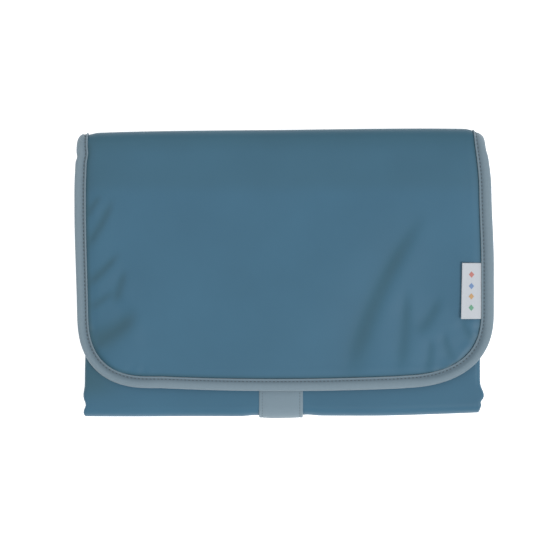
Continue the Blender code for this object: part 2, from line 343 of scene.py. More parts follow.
def painted_shade_colour(tree, plain, share):
    """The plain colour, darkened by painted shade: multiplied by a share where the painted-shade
    point attribute is 1.
    """
    wear = add_node(tree, "ShaderNodeAttribute", attribute_name="wear")
    mix = add_node(tree, "ShaderNodeMix", data_type='RGBA', blend_type='MULTIPLY')
    colours = [socket for socket in mix.inputs if socket.type == 'RGBA']
    colours[1].default_value = (*share, 1.0)
    tree.links.new(plain, colours[0])
    tree.links.new(wear.outputs["Fac"], mix.inputs[0])
    return next(socket for socket in mix.outputs if socket.type == 'RGBA')


def add_share(tree, value, share, other):
    """A share of one linked value, added to another."""
    total = add_node(tree, "ShaderNodeMath", operation='MULTIPLY_ADD')
    tree.links.new(value, total.inputs[0])
    total.inputs[1].default_value = share
    tree.links.new(other, total.inputs[2])
    return total.outputs["Value"]


def emboss(tree, shader, height, strength, distance):
    """Raise the surface by a linked height, through a bump node."""
    relief = add_node(tree, "ShaderNodeBump", Strength=strength, Distance=distance)
    tree.links.new(height, relief.inputs["Height"])
    tree.links.new(relief.outputs["Normal"], shader.inputs["Normal"])


def scaled(colour, share):
    """A colour made lighter or darker by a share."""
    return tuple(channel * share for channel in colour)


def coated_fabric(name, colour, roughness=0.47):
    """Polyurethane-coated polyester: satin, with a very fine grain and faint cloudy tone."""
    material, tree, shader = node_material(name)
    place = add_node(tree, "ShaderNodeUVMap", uv_map="cloth")
    clouds = add_node(tree, "ShaderNodeTexNoise", Scale=16.0, Detail=3.0, Roughness=0.5)
    tree.links.new(place.outputs["UV"], clouds.inputs["Vector"])
    tone = colour_mix(tree, clouds.outputs["Fac"], scaled(colour, 0.955), scaled(colour, 1.045))
    tone.color_ramp.elements[0].position = 0.3
    tone.color_ramp.elements[1].position = 0.7
    # Painted shade from the point attribute darkens the base colour.
    tree.links.new(painted_shade_colour(tree, tone.outputs["Color"], COATING_PAINTED_SHADE),
                   shader.inputs["Base Color"])

    grain = add_node(tree, "ShaderNodeTexNoise", Scale=1500.0, Detail=2.0, Roughness=0.6)
    tree.links.new(place.outputs["UV"], grain.inputs["Vector"])
    weave = add_node(tree, "ShaderNodeTexVoronoi", Scale=900.0)
    tree.links.new(place.outputs["UV"], weave.inputs["Vector"])
    both = add_share(tree, grain.outputs["Fac"], 1.0, weave.outputs["Distance"])
    emboss(tree, shader, both, 0.10, 0.2 * MM)

    gloss = add_node(tree, "ShaderNodeMapRange", To_Min=roughness - 0.04,
                     To_Max=roughness + 0.05)
    tree.links.new(clouds.outputs["Fac"], gloss.inputs["Value"])
    tree.links.new(gloss.outputs["Result"], shader.inputs["Roughness"])
    set_inputs(shader, Sheen_Weight=0.06, Sheen_Roughness=0.4, Specular_IOR_Level=0.28)
    return material


def ribbed_tape(name, colour, rib_pitch, strength=0.5):
    """Woven tape: ribs across its length, fine threads along it, slightly mottled."""
    material, tree, shader = node_material(name)
    place = add_node(tree, "ShaderNodeUVMap", uv_map="cloth")
    rib_scale = math.pi / 10 / rib_pitch
    ribs = add_node(tree, "ShaderNodeTexWave", wave_type='BANDS', bands_direction='X',
                    Scale=rib_scale, Distortion=0.6, Detail=1.0, Detail_Scale=2.0)
    threads = add_node(tree, "ShaderNodeTexWave", wave_type='BANDS', bands_direction='Y',
                       Scale=rib_scale * 1.4, Distortion=0.8, Detail=1.0)
    mottle = add_node(tree, "ShaderNodeTexNoise", Scale=700.0, Detail=3.0)
    for texture in (ribs, threads, mottle):
        tree.links.new(place.outputs["UV"], texture.inputs["Vector"])
    weave = add_share(tree, threads.outputs["Fac"], 0.45, ribs.outputs["Fac"])
    mixed = add_share(tree, mottle.outputs["Fac"], 0.5, weave)
    tone = colour_mix(tree, mixed, scaled(colour, 0.84), scaled(colour, 1.08))
    tone.color_ramp.elements[1].position = 0.95
    # Painted shade from the point attribute darkens the base colour.
    tree.links.new(painted_shade_colour(tree, tone.outputs["Color"], TAPE_PAINTED_SHADE),
                   shader.inputs["Base Color"])
    emboss(tree, shader, mixed, strength, 0.25 * MM)
    set_inputs(shader, Roughness=0.78, Sheen_Weight=0.25, Sheen_Roughness=0.5,
               Specular_IOR_Level=0.3)
    return material


def thread_material(name, colour):
    """Twisted polyester thread."""
    material, tree, shader = node_material(name)
    place = add_node(tree, "ShaderNodeTexCoord")
    fleck = add_node(tree, "ShaderNodeTexNoise", Scale=2500.0, Detail=2.0)
    tree.links.new(place.outputs["Object"], fleck.inputs["Vector"])
    tone = colour_mix(tree, fleck.outputs["Fac"], scaled(colour, 0.8), scaled(colour, 1.15))
    tree.links.new(tone.outputs["Color"], shader.inputs["Base Color"])
    emboss(tree, shader, fleck.outputs["Fac"], 0.4, 0.1 * MM)
    set_inputs(shader, Roughness=0.6)
    return material


def fibre_material(name, colour, scale, strength, roughness=0.9):
    """Touch-fastener tape: a fine irregular surface of hooks or loops."""
    material, tree, shader = node_material(name)
    place = add_node(tree, "ShaderNodeTexCoord")
    cells = add_node(tree, "ShaderNodeTexVoronoi", Scale=scale)
    fuzz = add_node(tree, "ShaderNodeTexNoise", Scale=scale * 1.7, Detail=4.0, Roughness=0.7)
    for texture in (cells, fuzz):
        tree.links.new(place.outputs["Object"], texture.inputs["Vector"])
    height = add_share(tree, cells.outputs["Distance"], 1.0, fuzz.outputs["Fac"])
    tone = colour_mix(tree, height, scaled(colour, 0.7), scaled(colour, 1.25))
    tree.links.new(tone.outputs["Color"], shader.inputs["Base Color"])
    emboss(tree, shader, height, strength, 0.5 * MM)
    set_inputs(shader, Roughness=roughness, Sheen_Weight=0.3)
    return material


shell_fabric = coated_fabric("shell_fabric", PETROL)
lining_fabric = coated_fabric("lining_fabric", scaled(PETROL, 0.95), 0.5)
binding_tape = ribbed_tape("binding_tape", TAPE_GREY, 0.9 * MM)
strap_webbing = ribbed_tape("strap_webbing", scaled(TAPE_GREY, 1.03), 0.7 * MM, 0.35)
label_ribbon = ribbed_tape("label_ribbon", RIBBON_WHITE, 0.35 * MM, 0.2)
grey_thread = thread_material("grey_thread", scaled(TAPE_GREY, 0.40))
petrol_thread = thread_material("petrol_thread", scaled(PETROL, 0.8))
hook_tape = fibre_material("hook_tape", HOOK_GREY, 1400.0, 0.8, 0.6)
loop_tape = fibre_material("loop_tape", LOOP_GREY, 900.0, 0.9)


def dress(piece, material, slot, *nodes):
    """Give a piece its material, and hide the model nodes that it stands for; slot is not used."""
    piece.data.materials.clear()
    piece.data.materials.append(material)
    if nodes:
        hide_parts(*nodes)
    return piece


# -------------------- the padded body

ROUND_SIDE = 4.6 * MM         # how far in from its seam a panel reaches its full thickness
BODY_MID_R = BOTTOM_Z - PANEL_HALF
BACK_LENGTH = BACK_END_Y - BOTTOM_Y
TURN_LENGTH = math.pi * BODY_MID_R
FRONT_LENGTH = TOP_Y - 1.0 * MM - BOTTOM_Y
BODY_LENGTH = BACK_LENGTH + TURN_LENGTH + FRONT_LENGTH
BODY_CORNER = 14.0 * MM


def fold_body(s, depth):
    """y and z of a point at distance s from the back panel's free edge, along the pad.

    depth is how far it lies outside the middle of the padding, towards the body's outer face.
    """
    turned = np.clip((s - BACK_LENGTH) / TURN_LENGTH, 0.0, 1.0) * math.pi
    radius = BODY_MID_R + depth
    past = np.clip(s - BACK_LENGTH - TURN_LENGTH, 0.0, None)
    before = np.clip(BACK_LENGTH - s, 0.0, None)
    y = BOTTOM_Y + before + past - radius * np.sin(turned)
    z = BOTTOM_Z - radius * np.cos(turned)
    return y, z


def body_surface(name, outer):
    """The body's outer shell, or its inner lining, from the back panel round to the front."""
    arc = 1 - np.cos(np.linspace(0.0, math.pi / 2, 8))
    flat = spaced(ROUND_SIDE, PANEL_RIGHT - PANEL_LEFT - ROUND_SIDE, 3.0 * MM)
    from_left = np.concatenate([arc[:-1] * ROUND_SIDE, flat,
                                PANEL_RIGHT - PANEL_LEFT - arc[-2::-1] * ROUND_SIDE])
    s = np.concatenate([
        arc[:-1] * ROUND_SIDE,
        spaced(ROUND_SIDE, BACK_LENGTH - 1 * MM, 3.0 * MM),
        spaced(BACK_LENGTH, BACK_LENGTH + TURN_LENGTH, 0.6 * MM),
        spaced(BACK_LENGTH + TURN_LENGTH + 1 * MM, BODY_LENGTH, 2.0 * MM),
    ])
    across, along = np.meshgrid(from_left, s)
    to_side = np.minimum(across, PANEL_RIGHT - PANEL_LEFT - across)
    from_turn = np.maximum(BACK_LENGTH - along, along - BACK_LENGTH - TURN_LENGTH)
    round_here = ROUND_SIDE * (1 - 0.65 * ease(from_turn, 22 * MM, 0.0))
    full = np.sqrt(np.clip(1 - (1 - np.clip(to_side / round_here, 0, 1)) ** 2, 0, 1))
    end = np.sqrt(np.clip(1 - (1 - np.clip(along / ROUND_SIDE, 0, 1)) ** 2, 0, 1))
    depth = PANEL_HALF * full * end
    inside = ease(to_side, 2 * MM, 30 * MM)
    x = PANEL_LEFT + across
    soft = 0.25 * MM * np.sin(x / (31 * MM) + 1.0) * np.cos(along / (45 * MM)) * inside
    y, z = fold_body(along, depth + np.minimum(soft, 0) if outer else -depth)

    rounded = BODY_CORNER - np.sqrt(np.clip(BODY_CORNER ** 2
                                            - np.clip(BODY_CORNER - along, 0, None) ** 2, 0, None))
    middle = (PANEL_LEFT + PANEL_RIGHT) / 2
    half = (PANEL_RIGHT - PANEL_LEFT) / 2
    x = middle + (x - middle) * (half - rounded) / half
    settled_x, settled_y, z = settle_body(x, y, z)
    share = 1.0 if outer else 1 - depth / PANEL_HALF
    x, y = x + (settled_x - x) * share, y + (settled_y - y) * share
    piece = surface(name, x, y, z, flip=not outer)
    if outer:
        # Painted shadow of the flap on the body's lower left corner.
        painted_flap_shadow = ease(y, -101 * MM, -82 * MM) * (along > BACK_LENGTH)
        mark_painted_shade(piece, 0.9 * painted_flap_shadow * ease(-x, 112 * MM, 148 * MM))
    return thicken(piece, CLOTH)


def bend_bottom(piece):
    """Bake a piece's place into its mesh."""
    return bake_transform(piece)


body_cover = body_surface("body_cover", True)
dress(body_cover, shell_fabric, "shell_fabric",
      "back_shell", "front_shell", "bottom_fold_shell", "back_foam", "front_foam")
bend_bottom(body_cover)

body_lining = body_surface("body_lining", False)
dress(body_lining, lining_fabric, "lining_fabric",
      "back_lining", "front_lining", "bottom_fold_lining")
bend_bottom(body_lining)


# -------------------- the flap's outline

CORNER_SQUARENESS = 2.5       # the exponent of the corner's curve
CORNER_TALL = 60.0 * MM


def corner_size(side):
    """How far the free corner's curve runs along the lower edge, and up the side."""
    return (76.0 * MM, CORNER_TALL) if side > 0 else (58.0 * MM, 58.0 * MM)


def edge_points(side, step=2.0 * MM):
    """The flap's outer edge on one side, from the top fold down to the middle of its low edge."""
    power = 2 / CORNER_SQUARENESS
    wide, tall = corner_size(side)
    straight = spaced(TOP_Y, FLAP_LOW_Y + tall, step)
    angle = np.linspace(0.0, math.pi / 2, 60)
    arc_x = FLAP_HALF - wide + wide * np.cos(angle) ** power
    arc_y = FLAP_LOW_Y + tall - tall * np.sin(angle) ** power
    low = spaced(FLAP_HALF - wide, 0.0, step)
    x = np.concatenate([np.full(len(straight), FLAP_HALF), arc_x[1:], low[1:]])
    y = np.concatenate([straight, arc_y[1:], np.full(len(low) - 1, FLAP_LOW_Y)])
    return side * x, y


def evenly(x, y, step):
    """The same line with points a fixed step apart."""
    length = np.concatenate([[0.0], np.cumsum(np.hypot(np.diff(x), np.diff(y)))])
    places = spaced(0.0, length[-1], step)
    return np.interp(places, length, x), np.interp(places, length, y)


def flap_edge(step):
    """The flap's whole outer edge, from the top left round to the top right, and inward ways."""
    left_x, left_y = edge_points(-1)
    right_x, right_y = edge_points(1)
    x, y = evenly(np.concatenate([left_x, right_x[-2::-1]]),
                  np.concatenate([left_y, right_y[-2::-1]]), step)
    way_x, way_y = np.gradient(x), np.gradient(y)
    size = np.hypot(way_x, way_y)
    return x, y, -way_y / size, way_x / size


def inner_half_width(y, side, inset):
    """Half the flap's width at each y, measured to a line inset from its outer edge."""
    x, edge_y, in_x, in_y = flap_edge(1.0 * MM)
    line_x, line_y = x + in_x * inset, edge_y + in_y * inset
    on_side = (line_x * side > 0) & (np.abs(line_x) > 20 * MM)
    order = np.argsort(line_y[on_side])
    return np.interp(y, line_y[on_side][order], np.abs(line_x[on_side])[order])


# -------------------- creases in the cover

def crease(x, y, start, end, bow, width):
    """Distance beside a bowed line, in half widths, and how far the crease has not faded."""
    ax, ay = start[0] * MM, start[1] * MM
    bx, by = end[0] * MM, end[1] * MM
    length = math.hypot(bx - ax, by - ay)
    way_x, way_y = (bx - ax) / length, (by - ay) / length
    along = ((x - ax) * way_x + (y - ay) * way_y) / length
    inside = np.clip(along, 0.0, 1.0)
    off = (x - ax) * -way_y + (y - ay) * way_x - bow * MM * 4 * inside * (1 - inside)
    fade = ease(along, -0.12, 0.3) * (1 - ease(along, 0.72, 1.12))
    return off / (width * MM * (0.75 + 0.5 * inside)), fade


# Where the soft cover creases, as listed: three longer creases on the right, three short ones
# at the right corner, and six gathers down the left side.
CREASES = (
    # start, end, bow, half width, depth, all in millimetres
    ((102, 39), (50, -78), -6.5, 7.6, 1.15),
    ((92, -14), (87, -76), 1.0, 5.0, 0.65),
    ((117, -19), (100, -47), 1.5, 4.8, 0.55),
    ((110, -52), (107, -77), 1.0, 3.2, 0.4),
    ((120, -46), (127, -69), -1.0, 3.2, 0.4),
    ((133, -36), (143, -53), -1.0, 3.2, 0.4),
    ((-138, 58), (-149, 42), 0.0, 2.8, 0.6),
    ((-129, 54), (-149, 19), 1.5, 3.6, 0.9),
    ((-125, 14), (-149, -9), 1.0, 3.4, 0.9),
    ((-120, 1), (-128, -23), 0.0, 3.6, 0.8),
    ((-112, -30), (-150, -55), 4.0, 8.2, 1.7),
    ((-130, -14), (-148, -27), 1.0, 3.2, 0.5),
)


def cover_relief(x, y):
    """How far the cover stands above its plain level: each crease is a soft step in a hollow."""
    height = np.zeros_like(x)
    for start, end, bow, width, depth in CREASES:
        beside, fade = crease(x, y, start, end, bow, width)
        step = np.tanh(1.5 * beside) * np.exp(-(beside / 3.2) ** 2)
        height = height + depth * MM * fade * (step - 0.5 * np.exp(-1.5 * beside ** 2))
    return height


def painted_crease_shade(x, y):
    """How much painted shade darkens the coating in its creases."""
    tone = np.zeros_like(x)
    for start, end, bow, width, depth in CREASES:
        beside, fade = crease(x, y, start, end, bow, width)
        tone = tone + 0.75 * min(1.0, 0.3 + depth / 2) * fade * np.exp(-(beside / 0.95) ** 2)
    return np.clip(tone, 0.0, 1.0)


def puckers(x, y, near):
    """Short gathers that fan out from the tape round the free corners."""
    side_x = np.abs(x) - 92 * MM
    side_y = y + 30 * MM
    angle = np.arctan2(side_y, side_x)
    at_corner = ease(side_x, 0.0, 25 * MM) * ease(-side_y, -5 * MM, 20 * MM)
    uneven = 0.6 + 0.4 * np.sin(angle * 7 + x / (60 * MM))
    return 0.30 * MM * np.sin(angle * 31) * uneven * bump(near, 8 * MM, 5 * MM) * at_corner


# -------------------- the flap's two fabrics

SEAM_LIP = 9.2 * MM           # how far the tape reaches in from the edge
DIP = 1.15 * MM               # how far the fabric is pressed down under the tape


def from_edge(x, y):
    """The distance of each point from the flap's outline."""
    outline_x, outline_y = flap_edge(1.6 * MM)[:2]
    nearest = np.full(x.shape, 1.0)
    for edge_x, edge_y in zip(outline_x, outline_y):
        nearest = np.minimum(nearest, np.hypot(x - edge_x, y - edge_y))
    return nearest


def pressed_by_tape(near):
    """How far the fabric is pressed down, at a distance from its edge under the tape."""
    return DIP * (1 - ease(near, 2.5 * MM, 11 * MM))


EDGE_BAND = 12.0 * MM         # the band along each side where the grid is finest


def flap_grid(face_z, lap_z, fold_z, radius):
    """Points from a lap on the front panel round the top fold and down the flap, row by row.

    Returns x, y, z, the distance to the nearer side, and which rows are on the lap and the flap.
    """
    turn = np.linspace(0.0, math.pi, 17)
    lap_rows = spaced(-LAP, -0.8 * MM, 1.0 * MM)
    straight = spaced(TOP_Y - 1.5 * MM, FLAP_LOW_Y + CORNER_TALL, 2.0 * MM)
    corner = np.linspace(0.0, math.pi / 2, 42)[1:]
    curved = FLAP_LOW_Y + CORNER_TALL - (CORNER_TALL - TUCK_IN) * np.sin(corner)
    row_y = np.concatenate([TOP_Y + lap_rows, TOP_Y + radius * np.sin(turn), straight, curved])
    row_z = np.concatenate([np.full(len(lap_rows), lap_z), fold_z - radius * np.cos(turn),
                            np.full(len(straight) + len(curved), face_z)])
    flat_y = np.concatenate([np.full(len(lap_rows) + len(turn), TOP_Y), straight, curved])
    left = inner_half_width(flat_y, -1, TUCK_IN)[:, None]
    right = inner_half_width(flat_y, 1, TUCK_IN)[:, None]

    edge = np.linspace(0.0, 1.0, 9)[:-1] * EDGE_BAND
    middle = np.linspace(0.0, 1.0, 140)
    x = np.hstack([-left + edge,
                   -left + EDGE_BAND + (right + left - 2 * EDGE_BAND) * middle,
                   right - edge[::-1]])
    y = np.repeat(row_y[:, None], x.shape[1], axis=1)
    z = np.repeat(row_z[:, None], x.shape[1], axis=1)
    row = np.arange(len(row_y))[:, None]
    to_side = np.minimum(x + left, right - x)
    return x, y, z, to_side, row < len(lap_rows), row >= len(lap_rows) + len(turn)


def flap_surface(name, face_z, lap_z, fold_z, radius, is_cover):
    """The flap's outer cover, or its lining."""
    x, y, z, to_side, on_lap, on_flap = flap_grid(face_z, lap_z, fold_z, radius)
    to_low = y - FLAP_LOW_Y - TUCK_IN
    near = np.minimum(to_side, to_low)
    pressed = np.where(on_lap, 0.0, pressed_by_tape(near)) * (1.0 if is_cover else -1.0)
    radial_y = np.where(on_flap, 0.0, (y - TOP_Y) / radius)
    radial_z = np.where(on_flap, 1.0, (z - fold_z) / radius)
    y, z = y - pressed * radial_y, z - pressed * radial_z
    # Painted shade: darker over the upper flap and more at the top fold, and down the left side; on
    # the cover also painted shade in the creases and a painted shadow along the seam.
    wear = 0.30 * ease(y, 56 * MM, 70 * MM) + 0.36 * ease(y, 88 * MM, 104 * MM)
    wear = wear + 0.14 * ease(-x, 112 * MM, 146 * MM)
    if is_cover:
        height = cover_relief(x, y) * ease(to_side, 1.5 * MM, 9 * MM)
        height = height * ease(to_low, 1.5 * MM, 9 * MM) + puckers(x, y, near)
        z = z + np.where(on_flap, height, 0.0)
        painted_seam_shadow = 0.75 * (1 - ease(from_edge(x, y) - SEAM_LIP, 0.3 * MM, 3.0 * MM))
        wear = np.clip(wear + np.where(on_flap, painted_crease_shade(x, y) + painted_seam_shadow, 0.0), 0.0, 1.0)
    piece = surface(name, *settle_flap(x, y, z), flip=is_cover)
    mark_painted_shade(piece, wear)
    if is_cover:
        let_drape(piece, ease(near, 3 * MM, 22 * MM) * (1 - ease(y, 70 * MM, 92 * MM)) * on_flap)
    return thicken(piece, CLOTH)


def bend_top(piece):
    """Bake a piece's place into its mesh."""
    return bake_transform(piece)


flap_cover = flap_surface("flap_cover_fabric", FLAP_TOP_Z, FRONT_UNDER_Z - 0.35 * MM,
                          COVER_FOLD_Z, COVER_FOLD_R, True)
dress(flap_cover, shell_fabric, "shell_fabric", "flap_cover", "top_fold_cover", "flap_foam")
bend_top(flap_cover)

flap_lining = flap_surface("flap_lining_fabric", FLAP_UNDER_Z, FRONT_TOP_Z + 0.75 * MM,
                           LINING_FOLD_Z, LINING_FOLD_R, False)
dress(flap_lining, lining_fabric, "lining_fabric", "flap_lining", "top_fold_lining")
bend_top(flap_lining)


# -------------------- the edge binding

TAILS = np.array([4.0, 3.0, 2.0, 1.0]) * MM      # the tape's ends, under the front panel


def mirrored(tail, middle, sign=1.0):
    """A tail, a middle, and the tail again in reverse order, times a sign."""
    return np.concatenate([tail, middle, sign * tail[::-1]])


def rail(step):
    """The binding's line: over the top fold on the left, round the flap, and over it again.

    Returns points, inward ways, outward-facing ways and the distance along, as arrays.
    """
    edge_x, edge_y, in_x, in_y = flap_edge(step)
    flat, level = np.zeros(len(edge_x)), np.ones(len(edge_x))
    steps = max(6, round(math.pi * MID_FOLD_R / step * 1.6))
    turn = np.concatenate([np.zeros(len(TAILS)), np.linspace(0.0, math.pi, steps + 1)[:-1]])
    zeros, ones = np.zeros(len(turn)), np.ones(len(turn))
    tail_y = TOP_Y + MID_FOLD_R * np.sin(turn)
    tail_y[:len(TAILS)] -= TAILS
    tail_z = COVER_FOLD_Z - MID_FOLD_R * np.cos(turn)
    points = np.stack([mirrored(-FLAP_HALF * ones, edge_x, -1.0), mirrored(tail_y, edge_y),
                       mirrored(tail_z, FLAP_MID_Z * level)], axis=-1)
    inward = np.stack([mirrored(ones, in_x, -1.0), mirrored(zeros, in_y),
                       np.zeros(len(points))], axis=-1)
    upward = np.stack([np.zeros(len(points)), mirrored(np.sin(turn), flat),
                       mirrored(-np.cos(turn), level)], axis=-1)
    return points, inward, upward, run_length(points)


def tape_section():
    """The folded tape's closed section: distance in from the edge, and height, in metres."""
    upper = [(9.3, 1.9), (9.45, 2.4), (9.2, 2.9), (8.7, 3.05), (8.25, 2.8), (7.9, 2.25),
             (7.3, 1.9), (6.7, 2.1), (6.1, 2.45), (5.2, 2.85), (3.9, 3.15), (2.4, 3.2),
             (1.1, 2.8), (0.35, 2.0), (0.05, 1.0)]
    lower = [(depth, -height) for depth, height in reversed(upper)]
    inner = [(8.9, -1.4), (6.0, -1.2), (3.4, -1.1), (2.4, 0.0), (3.4, 1.1), (6.0, 1.2), (8.9, 1.4)]
    return np.array(upper + [(0.0, 0.0)] + lower + inner) * MM


def sweep(name, points, inward, upward, along, section, settle, width=1.0):
    """A closed tube with the given section along a line, its ends closed."""
    count = len(section)
    width = np.broadcast_to(width, len(points))[:, None, None]
    place = (points[:, None, :] + inward[:, None, :] * section[None, :, 0, None] * width
             + upward[:, None, :] * section[None, :, 1, None])
    x, y, z = settle(place[..., 0], place[..., 1], place[..., 2])
    flat = np.stack([x, y, z], axis=-1).reshape(-1, 3)
    faces = list(grid_faces(len(points), count, wrap=True, flip=True))
    last = (len(points) - 1) * count
    faces.append(tuple(range(count)))
    faces.append(tuple(last + i for i in reversed(range(count))))
    piece = mesh_piece(name, flat, faces)
    add_uv(piece, np.repeat(along[:, None], count, axis=1),
           np.repeat(run_length(section)[None, :], len(points), axis=0))
    return piece


def tape_painted_shade(points, depth):
    """How much painted shade darkens the tape at each point of its line and depth in from its edge.

    The shade is painted into the stitch groove, and in a band across the tape and along its outer
    rim as it turns the free corners.
    """
    groove = bump(depth, 7.4 * MM, 1.0 * MM) + 0.3 * bump(depth, 5.6 * MM, 1.3 * MM)
    painted_corner_shade = bump(depth, 6.3 * MM, 3.0 * MM) + 0.5 * bump(depth, 0.0, 1.6 * MM)
    corner = ease(np.abs(points[:, 0]), 88 * MM, 122 * MM) * ease(-points[:, 1], 34 * MM, 62 * MM)
    corner = corner * np.where(points[:, 0] > 0, 0.75, 0.4)
    return np.clip(groove + corner[:, None] * painted_corner_shade, 0.0, 1.0)


tape_points, tape_inward, tape_upward, tape_along = rail(1.6 * MM)
tape_form = tape_section()
tape_width = 0.985 + 0.055 * np.clip(tape_points[:, 0] / FLAP_HALF, -1.0, 1.0)
tape = sweep("flap_binding_tape", tape_points, tape_inward, tape_upward, tape_along,
             tape_form, settle_flap, tape_width)
mark_painted_shade(tape, tape_painted_shade(tape_points, tape_form[:, 0]))
dress(tape, binding_tape, "binding_tape",
      "flap_binding", "fold_binding_left", "fold_binding_right")
bend_top(tape)


# -------------------- thread

def stitch_mesh(name, centres, ways, normals, length, radius, sides=6, rings=5):
    """A row of short stitches, each a closed bead of thread that dips at both ends."""
    points, faces = [], []
    profile = np.linspace(-1.0, 1.0, rings)
    angle = np.arange(sides) * 2 * math.pi / sides
    for centre, way, normal in zip(centres, ways, normals):
        way = way / np.linalg.norm(way)
        normal = normal - way * (normal @ way)
        normal = normal / np.linalg.norm(normal)
        across = np.cross(way, normal)
        first = len(points)
        for share in profile:
            thick = radius * (0.35 + 0.65 * math.sqrt(max(0.0, 1 - share ** 2)))
            middle = centre + way * share * length / 2 - normal * radius * 1.1 * share ** 2
            points.extend(middle + thick * (math.cos(a) * across + math.sin(a) * normal)
                          for a in angle)
        for ring in range(rings - 1):
            for i in range(sides):
                a = first + ring * sides + i
                b = first + ring * sides + (i + 1) % sides
                faces.append((a, b, b + sides, a + sides))
        faces.append(tuple(first + i for i in reversed(range(sides))))
        faces.append(tuple(first + (rings - 1) * sides + i for i in range(sides)))
    return mesh_piece(name, points, faces)


def settled_line(line, settle):
    """A line of points after settling, as an array."""
    return np.stack(settle(*line.T), axis=-1)


def seam(name, line, normals, stitch, material, slot):
    """Stitches along a line of points with normals; stitch is their pitch, length and radius."""
    pitch, length, radius = stitch
    along = run_length(line)
    places = np.arange(pitch / 2, along[-1], pitch)

    def at(distances, values):
        return np.stack([np.interp(distances, along, column) for column in values.T], axis=-1)

    ways = at(places + pitch / 4, line) - at(places - pitch / 4, line)
    piece = stitch_mesh(name, at(places, line), ways, at(places, normals), length, radius)
    return dress(piece, material, slot)


# Pitch, length and thread radius.
TAPE_STITCH = (2.9 * MM, 1.75 * MM, 0.34 * MM)
FINE_STITCH = (2.2 * MM, 1.7 * MM, 0.18 * MM)
LAP_STITCH = (2.4 * MM, 1.9 * MM, 0.2 * MM)


def tape_seam(name, height):
    """The line of stitches that holds the tape, on its upper or lower leaf."""
    place = tape_points + tape_inward * SEAM_IN * tape_width[:, None] + tape_upward * height
    line = settled_line(place, settle_flap)
    piece = seam(name, line, tape_upward * math.copysign(1, height), TAPE_STITCH, grey_thread,
                 "binding_tape")
    return bend_top(piece)


tape_seam("binding_stitches_upper", 2.2 * MM)
tape_seam("binding_stitches_lower", -2.2 * MM)


# -------------------- closing strap

STRAP_THICK = 1.1 * MM
STRAP_PROUD = 1.0 * MM        # how far the turn stands out round the body's fold
STRAP_SEAM_IN = 2.4 * MM
STITCH_SUNK = 0.42            # a stitch's height in its groove, as a share of the thickness


def strap_line():
    """The strap's middle line from its back end round the bottom fold: y, z and facing."""
    radius = BOTTOM_Z - STRAP_THICK / 2
    turn = np.linspace(0.0, math.pi, 25)
    back_y = spaced(strap_back_high.y, BOTTOM_Y + 1 * MM, 2.0 * MM)
    front_y = spaced(BOTTOM_Y + 1 * MM, strap_high.y, 2.0 * MM)
    y = np.concatenate([back_y, BOTTOM_Y - (radius + STRAP_PROUD) * np.sin(turn), front_y])
    z = np.concatenate([np.full(len(back_y), BOTTOM_Z - radius), BOTTOM_Z - radius * np.cos(turn),
                        np.full(len(front_y), BOTTOM_Z + radius)])
    face_y = np.concatenate([np.zeros(len(back_y)), -np.sin(turn), np.zeros(len(front_y))])
    face_z = np.concatenate([-np.ones(len(back_y)), -np.cos(turn), np.ones(len(front_y))])
    lift = 0.55 * MM * ease(z, BOTTOM_Z, FRONT_TOP_Z - 1 * MM)
    return y, z + lift, face_y, face_z


def strap_section():
    """The strap's closed section: rounded edges, and a shallow groove at each stitch line."""
    half, thick = STRAP_HALF / MM, STRAP_THICK / MM / 2
    left = [(-half + 0.05, 0.5), (-half + 0.4, 1.0), (-half + 1.6, 1.12), (-half + 2.4, 0.72),
            (-half + 3.2, 1.1), (-half * 0.4, 1.2)]
    right = [(-x, height) for x, height in reversed(left)]
    under = [(half, 0.0), (half - 0.4, -1.0), (0.0, -1.0), (-half + 0.4, -1.0), (-half, 0.0)]
    return np.array(left + right + under) * [MM, thick * MM]


strap_y, strap_z, strap_face_y, strap_face_z = strap_line()
strap_points = np.stack([np.full(len(strap_y), STRAP_X), strap_y, strap_z], axis=-1)
strap_across = np.tile([1.0, 0.0, 0.0], (len(strap_y), 1))
strap_facing = np.stack([np.zeros(len(strap_y)), strap_face_y, strap_face_z], axis=-1)
strap_along = run_length(strap_points)


def stay(x, y, z):
    """A piece that keeps its ideal place."""
    return x, y, z


def settle_strap(x, y, z):
    """The strap sags with the body's fold, with a slight wave across it."""
    low_share = ease(y, -60 * MM, BOTTOM_Y - 4 * MM)
    sag = 1.9 * MM + 0.35 * MM * np.sin((x - STRAP_X) / (5 * MM) + 2.0)
    return x, y - sag * low_share, z


strap = sweep("closing_strap", strap_points, strap_across, strap_facing, strap_along,
              strap_section(), settle_strap)
dress(strap, strap_webbing, "strap_webbing", "strap_front", "strap_turn", "strap_back")
bend_bottom(strap)

for side_name, side in (("left", -1), ("right", 1)):
    place = (strap_points + strap_across * side * (STRAP_HALF - STRAP_SEAM_IN)
             + strap_facing * STRAP_THICK * STITCH_SUNK)
    edge_line = settled_line(place, settle_strap)
    bend_bottom(seam("strap_stitches_" + side_name, edge_line, strap_facing, FINE_STITCH,
                     grey_thread, "strap_webbing"))


def sewing_path(corners, level, steps):
    """A line of points at one level that passes through each corner in turn."""
    line = []
    for (ax, ay), (bx, by) in zip(corners[:-1], corners[1:]):
        for share in np.linspace(0.0, 1.0, steps)[:-1]:
            line.append((ax + (bx - ax) * share, ay + (by - ay) * share, level))
    return np.array(line)


def facing_way(line, way):
    """The same normal, up or down, for each point of a line."""
    return np.tile([0.0, 0.0, float(way)], (len(line), 1))


def box_and_cross(y_from, y_to, half):
    """The corners of a box with a cross in it, in one unbroken line of sewing."""
    left, right = STRAP_X - half, STRAP_X + half
    return [(left, y_from), (right, y_from), (right, y_to), (left, y_to), (left, y_from),
            (right, y_to), (left, y_to), (right, y_from)]


box_corners = box_and_cross(strap_back_high.y - 3 * MM, strap_back_high.y - 24 * MM,
                            STRAP_HALF - 3.2 * MM)
box_line = sewing_path(box_corners, -0.05 * MM, 12)
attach(seam("strap_box_stitches", box_line, facing_way(box_line, -1), FINE_STITCH, grey_thread,
             "strap_webbing"), "back")


# -------------------- touch-fastener patches

